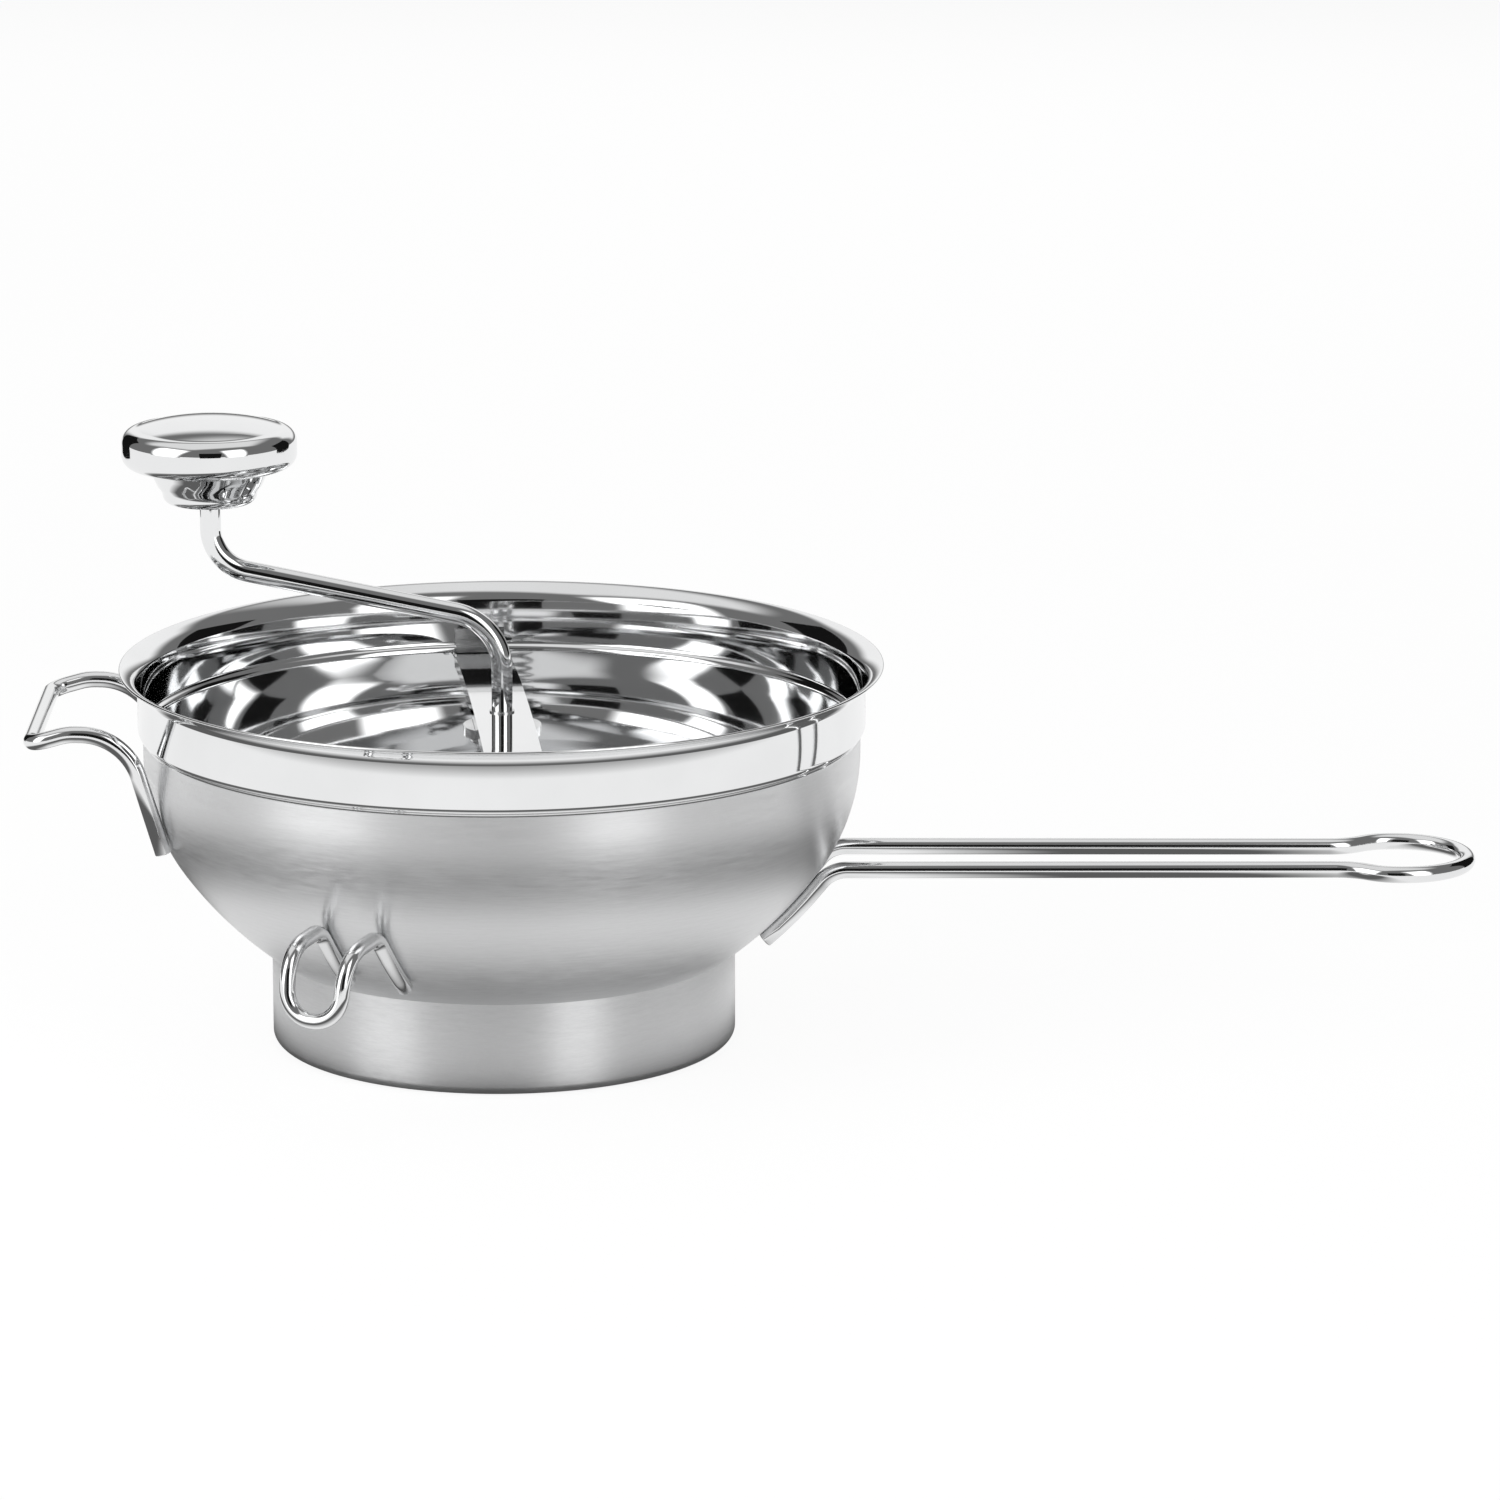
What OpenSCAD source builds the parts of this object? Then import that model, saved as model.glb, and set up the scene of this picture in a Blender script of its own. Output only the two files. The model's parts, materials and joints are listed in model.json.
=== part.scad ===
// Rotary food mill in stainless steel: a bowl on a foot ring, a cranked rod with a turning knob,
// and a sprung blade that sweeps food through a perforated disc.
// Origin: centre of the plane the foot stands on. +Z is up, +X runs along the long handle.
// All sizes are millimetres.

/* [Bowl] */
// Outer radius of the bowl just below the neck
bowl_r = 119.3; // [100:0.1:150]
// Depth from the disc seat to the widest level of the side
bowl_depth = 70.9; // [60:0.1:90]
// Radius of the side curve in section
side_curve_r = 63.7; // [50:0.1:70]
// Outer radius where the bowl meets the disc seat
seat_r = 72; // [60:0.5:76]
// Width of the flat seat that carries the disc
seat_w = 6; // [4:0.5:8]
// Height of the seat's top face above the ground
seat_z = 27.1; // [24:0.1:40]
// Thickness of the bowl, neck and foot sheet
sheet_t = 0.9; // [0.7:0.1:1.4]

/* [Neck and rim] */
// Straight height from the widest level up to the step
step_rise = 6; // [4:0.5:12]
// How far the neck stands out from the bowl
step_out = 1.7; // [1:0.1:3]
// Height of the step
step_h = 3.6; // [3:0.1:6]
// Height of the straight neck
neck_h = 13.9; // [10:0.1:30]
// Section radius of the flared rim
rim_curve_r = 8.3; // [6:0.1:10]

/* [Foot] */
// How far the foot ring stands out from the disc seat
foot_out = 5.5; // [4:0.5:9]
// Radius of the foot's lower edge
foot_edge_r = 3; // [2:0.1:5]
// Width of the inward lip that the foot stands on
foot_lip_w = 3; // [2:0.5:6]

/* [Sieve disc] */
// Thickness of the disc
disc_t = 1; // [0.8:0.1:1.5]
// Radius of each sieve hole
hole_r = 2; // [1:0.1:2.4]
// Spacing of the sieve holes
hole_pitch = 8; // [6.5:0.1:12]
// Plain border outside the holes
disc_border = 7; // [5:0.5:12]

/* [Crank] */
// Radius of the crank rod
rod_r = 3.5; // [3:0.1:4.5]
// Horizontal reach from the shaft to the knob
crank_reach = 96; // [70:1:120]
// Rise of the arm from the shaft to the knob
arm_rise = 19.7; // [10:0.1:35]
// Height of the arm's inner corner above the crossbar
arm_clear = 30.4; // [25:0.1:50]
// Bend radius at the shaft
inner_bend_r = 19; // [12:0.5:24]
// Bend radius below the knob
outer_bend_r = 15; // [10:0.5:18]
// Height of the knob's underside above the arm's outer corner
knob_clear = 21; // [19:0.5:40]

/* [Knob] */
// Radius of the knob
knob_r = 29; // [22:0.5:36]
// Height of the knob's upright side band with its rounded edges
knob_h = 13; // [12:0.5:20]
// Height of the domed top above the side band
knob_dome = 3.6; // [2:0.1:6]
// Rounding of the knob's edges
knob_edge_r = 4.6; // [3:0.1:5.5]
// Height of the cup under the knob
cup_h = 12; // [9:0.5:16]
// Radius of the cup where it meets the knob
cup_top_r = 20; // [16:0.5:24]
// Radius of the cup near its flat end
cup_end_r = 15.6; // [13:0.1:16]
// Thickness of the knob's sheet
knob_t = 1; // [0.8:0.1:1.5]

/* [Crossbar] */
// Width of the bar
bar_w = 19; // [14:0.5:26]
// Thickness of the bar
bar_t = 1.2; // [1:0.1:2]
// Depth of the turned-down edges
bar_edge_h = 4; // [3:0.5:8]
// Height of the bar's top at the shaft above its ends
bar_arch = 6.3; // [3:0.1:12]
// Direction in which the bar lies
bar_turn = 95.6; // [80:0.1:100]
// How far the bar can be pressed down against the spring
bar_travel = 5; // [3:0.5:8]

/* [Blade and drive] */
// Inner radius of the blade plate
blade_in_r = 8.5; // [7:0.1:11]
// Gap between the blade's low edge and the disc seat's outer edge
blade_edge_gap = 4; // [3:0.5:12]
// Gap between the blade and the bowl's wall
blade_wall_gap = 4; // [3:0.5:8]
// Rise of the blade from its low edge to its high edge
blade_rise = 30; // [15:1:36]
// Sweep of the blade around the shaft
blade_sweep = 205; // [160:5:250]
// Thickness of the blade plate
blade_t = 1.5; // [1:0.1:2.5]
// Mean radius of the spring
spring_r = 9.5; // [8:0.1:12]
// Radius of the spring wire
spring_wire_r = 1; // [0.8:0.1:1.3]
// Number of spring turns
spring_turns = 7; // [5:1:9]
// Gap between the scraper's tips and the seat's opening
scraper_gap = 4; // [2:0.5:15]

/* [Handles and hooks] */
// Radius of the handle wire
wire_r = 2.75; // [2.2:0.05:3.5]
// Height of the long handle above the disc seat
long_rise = 33.2; // [30:0.1:36]
// Distance from the shaft to the long handle's tip
long_reach = 325; // [260:1:400]
// Half the spacing of the long handle's wires at the bowl
long_half_w = 16; // [12:0.5:24]
// Half the spacing of the wires before the eye
slot_half_w = 15.3; // [11:0.1:20]
// Half the spacing of the wires in the hanging eye
eye_half_w = 22.5; // [20.5:0.1:28]
// Half the width of the short handle
short_half_w = 40; // [30:0.5:50]
// Distance from the bowl's side to the middle of the short handle's grip
short_out = 34.2; // [27:0.1:45]
// Height of the short handle's arch above the bowl's widest level
short_rise = 14; // [10:0.5:17]
// Radius of the hook wire
hook_wire_r = 2.6; // [2:0.1:3]
// Half the spacing of a hook's legs
hook_half_w = 10.4; // [8:0.1:14]
// Distance of a hook's loop from the bowl's side
hook_out = 15.7; // [12:0.1:24]
// Angle of each hook from the middle of the short handle
hook_turn = 65; // [50:1:75]

/* [Clearances] */
// Radial clearance of a shaft in its bush
run_gap = 0.06; // [0.02:0.01:0.1]
// Gap between faces that move past each other
move_gap = 0.4; // [0.3:0.05:0.8]
// Radial clearance of the disc in its seat
disc_gap = 0.5; // [0.3:0.1:1]
// Gap at the crossbar's ends
bar_gap = 0.5; // [0.4:0.1:1]
// Gap between the crossbar's top and the lugs that hold it down
lug_gap = 0.3; // [0.3:0.1:0.8]

/* [Hidden] */

steel = [0.80, 0.81, 0.82];
polished = [0.88, 0.89, 0.90];
satin = [0.66, 0.67, 0.68];
dark_steel = [0.50, 0.51, 0.53];
round_fn = 96;
wire_fn = 32;
wire_sides = 14;
wire_step = 12;
small_fn = 32;
curve_step = 4;
far = 400;

// ---- Sizes that follow the bowl ----
foot_r = seat_r + foot_out;
blade_out_r = seat_r - blade_edge_gap;
long_z = seat_z + long_rise;
short_reach = bowl_r + short_out;
hook_reach = bowl_r + hook_out;

// ---- The bowl's middle surface, worked out from the seat upwards ----
widest_z = seat_z + bowl_depth;
side_c_r = bowl_r - side_curve_r;
// The lower bowl is part of a sphere on the axis that passes through the seat's edge and runs
// into the side curve without a corner. These three terms solve for the height of its centre.
crown_p = seat_r * seat_r - side_c_r * side_c_r + seat_z * seat_z - widest_z * widest_z
    - side_curve_r * side_curve_r;
crown_q = 2 * bowl_depth;
crown_a = crown_q * crown_q - 4 * side_curve_r * side_curve_r;
crown_b = 2 * crown_p * crown_q + 8 * side_curve_r * side_curve_r * widest_z;
crown_c = crown_p * crown_p
    - 4 * side_curve_r * side_curve_r * (side_c_r * side_c_r + widest_z * widest_z);
crown_z = (-crown_b + sqrt(crown_b * crown_b - 4 * crown_a * crown_c)) / (2 * crown_a);
crown_r = norm([seat_r, crown_z - seat_z]);
join_angle = atan2(crown_z - widest_z, side_c_r);

step_z = widest_z + step_rise;
neck_z = step_z + step_h;
neck_top_z = neck_z + neck_h;
neck_r = bowl_r + step_out;
half_t = sheet_t / 2;

function arc(c, r, a0, a1, step = curve_step) = let (n = max(2, ceil(abs(a1 - a0) / step)))
    [for (i = [0:n]) c + r * [cos(a0 + (a1 - a0) * i / n), sin(a0 + (a1 - a0) * i / n)]];

// The S of the step is two equal arcs that meet half-way.
step_bend = 2 * atan2(step_out, step_h);
step_bend_r = step_h / (2 * sin(step_bend));
step_mid_r = bowl_r - half_t;
rim_start = 162;
rim_end = 100;
rim_c = [neck_r - half_t - rim_curve_r * cos(rim_start), neck_top_z - rim_curve_r * sin(rim_start)];
rim_r = rim_c[0] + rim_curve_r * cos(rim_end);

// The wall starts inside the seat's thickness, so that the two are one sheet.
crown_start = -asin((crown_z - seat_z + sheet_t / 3) / (crown_r - half_t));
crown_line = arc([0, crown_z], crown_r - half_t, crown_start, -join_angle);
crown_points = len(crown_line);
bowl_mid = concat(
    crown_line,
    arc([side_c_r, widest_z], side_curve_r - half_t, -join_angle + curve_step, 0),
    arc([step_mid_r + step_bend_r, step_z], step_bend_r, 180, 180 - step_bend, 13),
    arc([step_mid_r + step_out - step_bend_r, neck_z], step_bend_r, -step_bend + 13, 0, 13),
    arc(rim_c, rim_curve_r, rim_start, rim_end, 8));

// A sheet section: the middle line moved half a thickness to each side.
function side_dir(p, i) = let (a = p[max(i - 1, 0)], b = p[min(i + 1, len(p) - 1)],
    d = (b - a) / norm(b - a)) [d[1], -d[0]];
function sheet_outline(p, t) = concat(
    [for (i = [0:len(p) - 1]) p[i] + side_dir(p, i) * t / 2],
    [for (i = [len(p) - 1:-1:0]) p[i] - side_dir(p, i) * t / 2]);

// Radius of the bowl's outer surface at a height, and of its inner surface.
function bowl_out(z) = z >= widest_z ? bowl_r
    : z > widest_z - side_curve_r * sin(join_angle)
        ? side_c_r + sqrt(pow(side_curve_r, 2) - pow(z - widest_z, 2))
        : sqrt(pow(crown_r, 2) - pow(z - crown_z, 2));
function bowl_in(z) = z >= widest_z ? bowl_r - sheet_t
    : z > widest_z - side_curve_r * sin(join_angle)
        ? side_c_r + sqrt(pow(side_curve_r - sheet_t, 2) - pow(z - widest_z, 2))
        : sqrt(pow(crown_r - sheet_t, 2) - pow(z - crown_z, 2));

// ---- The stack on the shaft, from the foot upwards ----
seat_in_r = seat_r - seat_w;
scraper_r = seat_in_r - scraper_gap;
disc_r = bowl_in(seat_z) - disc_gap;
disc_top = seat_z + disc_t;
eyelet_in_r = rod_r + run_gap;
eyelet_r = rod_r + 2.5;
eyelet_flange_r = rod_r + 5;
eyelet_top = disc_top + 1;
eyelet_bottom = seat_z - 1;
hub_margin = 0.5;
hub_z = eyelet_top + move_gap;
hub_r = blade_in_r;
blade_z = disc_top + move_gap;
hub_h = blade_z + blade_rise + blade_t + hub_margin - hub_z;
washer_t = 1.2;
washer_r = spring_r + spring_wire_r + 1.5;
spring_z = hub_z + hub_h + washer_t;
pin_r = 1.5;
pin_z = hub_z + 6;
scraper_hub_r = rod_r + 5;
scraper_top = seat_z - move_gap;
scraper_hub_top = eyelet_bottom - move_gap;
scraper_h = 5;
scraper_t = 1.5;
scraper_hub_h = 7;
nut_h = 5;
nut_r = 7;
rod_end = 2;
scraper_hub_z = scraper_hub_top - scraper_hub_h;
nut_z = scraper_hub_z - nut_h;
rod_bottom = nut_z - rod_end;

// ---- Crossbar: an arch under two lugs, held up by the spring ----
bar_end_r = bowl_in(widest_z) - bar_gap;
bar_end_z = step_z + 0.4;
bar_top_z = bar_end_z + bar_arch;
bar_arch_r = (pow(bar_end_r, 2) + pow(bar_arch, 2)) / (2 * bar_arch);
bar_arch_angle = 2 * asin(bar_end_r / bar_arch_r) + 0.6;
bar_c_z = bar_top_z - bar_arch_r;
// Height of the bar's top face at a distance from the shaft.
function bar_surface(r) = bar_c_z + sqrt(pow(bar_arch_r, 2) - r * r);
// Height of the bar's arched underside at a distance from the shaft.
function bar_underside(r) = bar_c_z + sqrt(pow(bar_arch_r - bar_t, 2) - r * r);
bush_r = rod_r + 0.7;
bush_flange_r = rod_r + 4;
bush_proud = 0.5;
bush_flange_t = bar_edge_h - bar_t + lug_gap;
// The flange's rim meets the arch, so the flange lies wholly below it.
lip_z = bar_underside(bush_flange_r);
cup_z = lip_z - bush_flange_t;
spring_top = cup_z - washer_t;
lug_t = 1.5;
lug_w = 17;
lug_reach = 6;
lug_h = 7;
lug_in_r = bar_end_r - lug_reach;
lug_z = bar_surface(lug_in_r) + lug_gap;

// ---- Crank ----
arm_z = bar_top_z + arm_clear;
arm_end_z = arm_z + arm_rise;
cup_bottom = arm_end_z + knob_clear;
knob_bottom = cup_bottom + cup_h;
knob_top = knob_bottom + knob_h + knob_dome;
bush_h = 12;
spindle_r = rod_r + 3;
spindle_z = cup_bottom + bush_h + move_gap;
spindle_nut_z = spindle_z + washer_t;
spindle_nut_h = 4;
rod_top = spindle_nut_z + spindle_nut_h + 1;

// ---- Paths of bent wire: straight lengths joined by round bends ----
function unit(v) = v / norm(v);
function heading(p, i) = unit(p[i + 1] - p[i]);
function bend_angle(p, i) = acos(min(1, max(-1, heading(p, i - 1) * heading(p, i))));
function trim(p, bends, i) = (i == 0 || i == len(p) - 1) ? 0
    : bends[i] * tan(bend_angle(p, i) / 2);
function across(d) = unit(cross(abs(d[2]) < 0.9 ? [0, 0, 1] : [1, 0, 0], d));

// Two mirrored halves of one path, joined at its far end.
function mirrored(p) = [for (i = [len(p) - 1:-1:0]) [p[i][0], -p[i][1], p[i][2]]];
function reversed(v) = [for (i = [len(v) - 1:-1:0]) v[i]];

// ---- Bent wire: a closed tube of rings along a centre line with round corners ----
function corner_points(p, bends, i, step) = let (u = heading(p, i - 1), v = heading(p, i),
    angle = bend_angle(p, i), inward = unit(v - u * (u * v)), n = max(2, ceil(angle / step)),
    centre = p[i] - u * bends[i] * tan(angle / 2) + inward * bends[i])
    [for (k = [0:n]) centre + bends[i] * (u * sin(angle * k / n) - inward * cos(angle * k / n))];
function centre_line(p, bends, step) = let (all = concat([p[0]],
    [for (i = [1:len(p) - 2]) each corner_points(p, bends, i, step)], [p[len(p) - 1]]))
    [for (i = [0:len(all) - 1]) if (i == 0 || norm(all[i] - all[i - 1]) > 0.05) all[i]];
function tangent(c, i) = unit(c[min(i + 1, len(c) - 1)] - c[max(i - 1, 0)]);
function square_to(n, t) = unit(n - t * (n * t));
function ring_axes(c) = [for (i = 0, n = across(tangent(c, 0)); i < len(c);
    i = i + 1, n = i < len(c) ? square_to(n, tangent(c, i)) : n) n];

module tube(c, r, n) {
    axes = ring_axes(c);
    last = len(c) - 1;
    points = [for (i = [0:last], k = [0:n - 1])
        let (x = axes[i], y = cross(tangent(c, i), x))
        c[i] + r * (x * cos(360 * k / n) + y * sin(360 * k / n))];
    sides = [for (i = [0:last - 1], k = [0:n - 1])
        [i * n + k, (i + 1) * n + k, (i + 1) * n + (k + 1) % n, i * n + (k + 1) % n]];
    ends = [[for (k = [0:n - 1]) k], [for (k = [n - 1:-1:0]) last * n + k]];
    polyhedron(points, concat(sides, ends));
}

module bent_wire(half, bends, r) {
    tube(centre_line(concat(half, mirrored(half)), concat(bends, reversed(bends)), wire_step),
        r, wire_sides);
}

// ---- Root pieces ----
module bowl() {
    color(satin) rotate_extrude($fn = round_fn) {
        polygon(sheet_outline(bowl_mid, sheet_t));
        translate([seat_in_r, seat_z - sheet_t]) square([seat_r - sheet_t - seat_in_r, sheet_t]);
    }
}

module foot_ring() {
    foot_in_r = foot_r - sheet_t;
    wall_top = seat_z + 12;
    color(satin) rotate_extrude($fn = round_fn) difference() {
        union() {
            translate([foot_in_r, foot_edge_r]) square([sheet_t, wall_top - foot_edge_r]);
            intersection() {
                translate([foot_r - foot_edge_r, foot_edge_r]) difference() {
                    circle(r = foot_edge_r, $fn = small_fn);
                    circle(r = foot_edge_r - sheet_t, $fn = small_fn);
                }
                translate([foot_r - foot_edge_r, 0]) square(foot_edge_r);
            }
            translate([foot_r - foot_edge_r - foot_lip_w, 0]) square([foot_lip_w, sheet_t]);
        }
        polygon(concat(sheet_outline(bowl_mid, sheet_t), [[0, neck_top_z], [0, seat_z - sheet_t]]));
        // The wall ends where it meets the bowl's outer face.
        polygon(concat([for (i = [0:crown_points - 1]) bowl_mid[i] + side_dir(bowl_mid, i) * half_t],
            [[0, bowl_mid[crown_points - 1][1]], [0, seat_z]]));
    }
}

module sieve_disc() {
    hole_limit = disc_r - disc_border;
    rows = floor(hole_limit / (hole_pitch * sin(60)));
    columns = floor(hole_limit / hole_pitch) + 1;
    color(steel) translate([0, 0, seat_z]) linear_extrude(disc_t) difference() {
        circle(r = disc_r, $fn = round_fn);
        circle(r = eyelet_r, $fn = small_fn);
        for (j = [-rows:rows], i = [-columns:columns]) {
            x = (i + (j % 2 == 0 ? 0 : 0.5)) * hole_pitch;
            y = j * hole_pitch * sin(60);
            if (norm([x, y]) < hole_limit && norm([x, y]) > eyelet_flange_r + hole_r + 1)
                translate([x, y]) circle(r = hole_r, $fn = 16);
        }
    }
}

module disc_eyelet() {
    color(polished) difference() {
        union() {
            translate([0, 0, disc_top]) cylinder(r = eyelet_flange_r, h = 1, $fn = small_fn);
            translate([0, 0, seat_z]) cylinder(r = eyelet_r, h = disc_t, $fn = small_fn);
            translate([0, 0, eyelet_bottom]) cylinder(r = eyelet_flange_r - 1, h = 1, $fn = small_fn);
        }
        translate([0, 0, eyelet_bottom - 1]) cylinder(r = eyelet_in_r, h = far, $fn = small_fn);
    }
}

// Point on the sphere of the lower bowl moved out by the wire radius, at a sideways offset, and
// the run of a wire that lies along it between two heights.
function lay_r(h, r) = sqrt(pow(crown_r + r + 0.02, 2) - h * h);
function lay_angle(z, h, r) = asin((crown_z - z) / lay_r(h, r));
function lay_point(a, h, r) = [lay_r(h, r) * cos(a), crown_z - lay_r(h, r) * sin(a)];
function lay_corner(a0, a1, h, r) = [0, crown_z]
    + lay_r(h, r) / cos((a0 - a1) / 2) * [cos((a0 + a1) / 2), -sin((a0 + a1) / 2)];
// Where the line that leaves the bowl at angle a reaches height z.
function leave_x(a, h, r, z) = lay_point(a, h, r)[0] + (z - lay_point(a, h, r)[1]) * tan(a);

long_leg_low = long_z - 24;
long_leg_high = long_z - 5;
long_bend_r = 11;
eye_start = long_reach - wire_r - eye_half_w * 2 + 5.7;

module long_handle() {
    h = long_half_w;
    a0 = lay_angle(long_leg_low, h, wire_r);
    a1 = lay_angle(long_leg_high, h, wire_r);
    low = lay_point(a0, h, wire_r);
    mid = lay_corner(a0, a1, h, wire_r);
    tip = long_reach - wire_r;
    half = [[low[0], -h, low[1]], [mid[0], -h, mid[1]],
        [leave_x(a1, h, wire_r, long_z), -h, long_z],
        [eye_start - 0.1, -slot_half_w, long_z],
        [eye_start + 10, -eye_half_w, long_z], [tip, -eye_half_w, long_z]];
    bends = [0, lay_r(h, wire_r), long_bend_r, 17, 17, eye_half_w];
    color(polished) bent_wire(half, bends, wire_r);
}

// The short handle's legs touch the side curve at one level and run straight from there.
short_touch_z = widest_z - 18;
short_leg_low = widest_z - 26;

module short_handle() {
    h = short_half_w;
    lift = side_curve_r + wire_r + 0.05;
    lean = asin((widest_z - short_touch_z) / lift);
    touch_z = widest_z - lift * sin(lean);
    touch_rho = side_c_r + lift * cos(lean);
    touch_x = sqrt(touch_rho * touch_rho - h * h);
    slope = tan(lean) * touch_rho / touch_x;
    arch_z = widest_z + short_rise;
    low_x = touch_x + (short_leg_low - touch_z) * slope;
    turn_x = touch_x + (arch_z - touch_z) * slope;
    half = [[-low_x, h, short_leg_low], [-turn_x, h, arch_z],
        [-turn_x - 19, h, arch_z + 0.4], [-short_reach, h, arch_z - 3]];
    bends = [0, 20, 18, 6];
    color(polished) bent_wire(half, bends, wire_r);
}

hook_leg_low = seat_z + 12;
hook_leg_high = seat_z + 25;
hook_top_z = hook_leg_high + 9;
hook_loop_z = hook_leg_low - 1;

module pot_hook(angle) {
    h = hook_half_w;
    a0 = lay_angle(hook_leg_low, h, hook_wire_r);
    a1 = lay_angle(hook_leg_high, h, hook_wire_r);
    low = lay_point(a0, h, hook_wire_r);
    mid = lay_corner(a0, a1, h, hook_wire_r);
    top_x = leave_x(a1, h, hook_wire_r, hook_top_z);
    half = [[low[0], -h, low[1]], [mid[0], -h, mid[1]], [top_x, -h, hook_top_z],
        [hook_reach - 3, -h, hook_top_z - 2], [hook_reach, -h + 1, hook_loop_z]];
    bends = [0, lay_r(h, hook_wire_r), 8.5, 13, h - 1];
    color(polished) rotate(angle) bent_wire(half, bends, hook_wire_r);
}

module pot_hook_front() {
    pot_hook(180 + hook_turn);
}

module pot_hook_rear() {
    pot_hook(180 - hook_turn);
}

// An angle piece welded inside the neck: its tongue reaches over the end of the crossbar.
module bar_lug(angle) {
    tongue_end = neck_r - sheet_t;
    color(steel) rotate(angle) intersection() {
        union() {
            translate([lug_in_r, -lug_w / 2, lug_z]) cube([far, lug_w, lug_t]);
            difference() {
                translate([0, -lug_w / 2, lug_z]) cube([far, lug_w, lug_h]);
                cylinder(r = tongue_end - lug_t, h = far, $fn = round_fn);
            }
        }
        rotate_extrude($fn = round_fn) polygon(concat(
            [for (i = [0:len(bowl_mid) - 1]) bowl_mid[i] - side_dir(bowl_mid, i) * half_t],
            [[0, neck_top_z], [0, seat_z]]));
    }
}

module bar_lug_front() {
    bar_lug(bar_turn + 180);
}

module bar_lug_rear() {
    bar_lug(bar_turn);
}

// ---- Crossbar body ----
// Side view of the bar: an arched band of the given depth.
module bar_arch_band(depth) {
    intersection() {
        difference() {
            translate([0, bar_c_z]) circle(r = bar_arch_r, $fn = 720);
            translate([0, bar_c_z]) circle(r = bar_arch_r - depth, $fn = 720);
        }
        translate([-bar_end_r, bar_end_z - 20]) square([2 * bar_end_r, 60]);
    }
}

module crossbar() {
    edge_reach = bar_end_r - lug_reach - 4;
    color(polished) rotate(bar_turn) difference() {
        intersection() {
            rotate([90, 0, 0]) union() {
                linear_extrude(bar_w, center = true) bar_arch_band(bar_t);
                for (side = [-1, 1]) translate([0, 0, side * (bar_w - bar_t) / 2])
                    linear_extrude(bar_t, center = true) intersection() {
                        bar_arch_band(bar_edge_h);
                        translate([-edge_reach, 0]) square([2 * edge_reach, far]);
                    }
            }
            cylinder(r = bar_end_r, h = far, $fn = round_fn);
        }
        cylinder(r = bush_r, h = far, $fn = small_fn);
    }
}

module bar_bush() {
    color(steel) difference() {
        union() {
            translate([0, 0, lip_z - bush_flange_t])
                cylinder(r = bush_flange_r, h = bush_flange_t, $fn = small_fn);
            translate([0, 0, lip_z]) cylinder(r = bush_r, h = bar_top_z + bush_proud - lip_z, $fn = small_fn);
        }
        translate([0, 0, lip_z - 5]) cylinder(r = rod_r + run_gap, h = 20, $fn = small_fn);
    }
}

module spring_cup() {
    skirt = 2;
    color(steel) difference() {
        translate([0, 0, cup_z - washer_t - skirt]) cylinder(r = washer_r + 1, h = washer_t + skirt,
            $fn = small_fn);
        translate([0, 0, cup_z - washer_t - skirt - 1]) cylinder(r = washer_r, h = skirt + 1,
            $fn = small_fn);
        translate([0, 0, cup_z - 10]) cylinder(r = rod_r + 0.5, h = 20, $fn = small_fn);
    }
}

// ---- Crank body ----
// The shaft and the spindle are true cylinders, because they turn in bushes. The bent arm between
// them runs a few millimetres into both.
module crank_rod() {
    path = [[0, 0, arm_z - 26], [0, 0, arm_z], [-crank_reach, 0, arm_end_z],
        [-crank_reach, 0, arm_end_z + 18]];
    bends = [0, inner_bend_r, outer_bend_r, 0];
    shaft_top = arm_z - trim(path, bends, 1) - 0.5;
    spindle_low = arm_end_z + trim(path, bends, 2) + 0.5;
    color(polished) difference() {
        union() {
            translate([0, 0, rod_bottom])
                cylinder(r = rod_r, h = shaft_top - rod_bottom, $fn = wire_fn);
            translate([-crank_reach, 0, spindle_low])
                cylinder(r = rod_r, h = rod_top - spindle_low, $fn = wire_fn);
            tube(centre_line(path, bends, 6), rod_r - 0.02, 24);
        }
        translate([0, 0, pin_z]) rotate([90, 0, 0])
            cylinder(r = pin_r, h = 4 * rod_r, center = true, $fn = small_fn);
    }
}

module spring() {
    per_turn = 18;
    steps = per_turn * spring_turns;
    z0 = spring_z + spring_wire_r + 0.05;
    rise = spring_top - spring_wire_r - 0.05 - z0;
    turns = [for (i = [0:steps]) let (a = 360 * i / per_turn)
        [spring_r * cos(a), spring_r * sin(a), z0 + rise * i / steps]];
    color(dark_steel) tube(turns, spring_wire_r, 8);
}

module spring_washer() {
    color(steel) difference() {
        translate([0, 0, hub_z + hub_h]) cylinder(r = washer_r, h = washer_t, $fn = small_fn);
        translate([0, 0, hub_z]) cylinder(r = rod_r + 0.5, h = far, $fn = small_fn);
    }
}

// The blade is a plate that climbs evenly round the shaft. Its low edge sweeps the disc, and its
// outer edge follows the bowl.
blade_flat = 20;
function blade_height(a) = blade_z + blade_rise * max(0, a - blade_flat) / (blade_sweep - blade_flat);
function blade_edge(a) = min(bowl_in(blade_height(a)) - blade_wall_gap,
    blade_out_r + 0.45 * (blade_height(a) - blade_z));
function blade_root(a) = blade_height(a) < hub_z ? eyelet_flange_r + move_gap : hub_r - 0.3;

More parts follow.
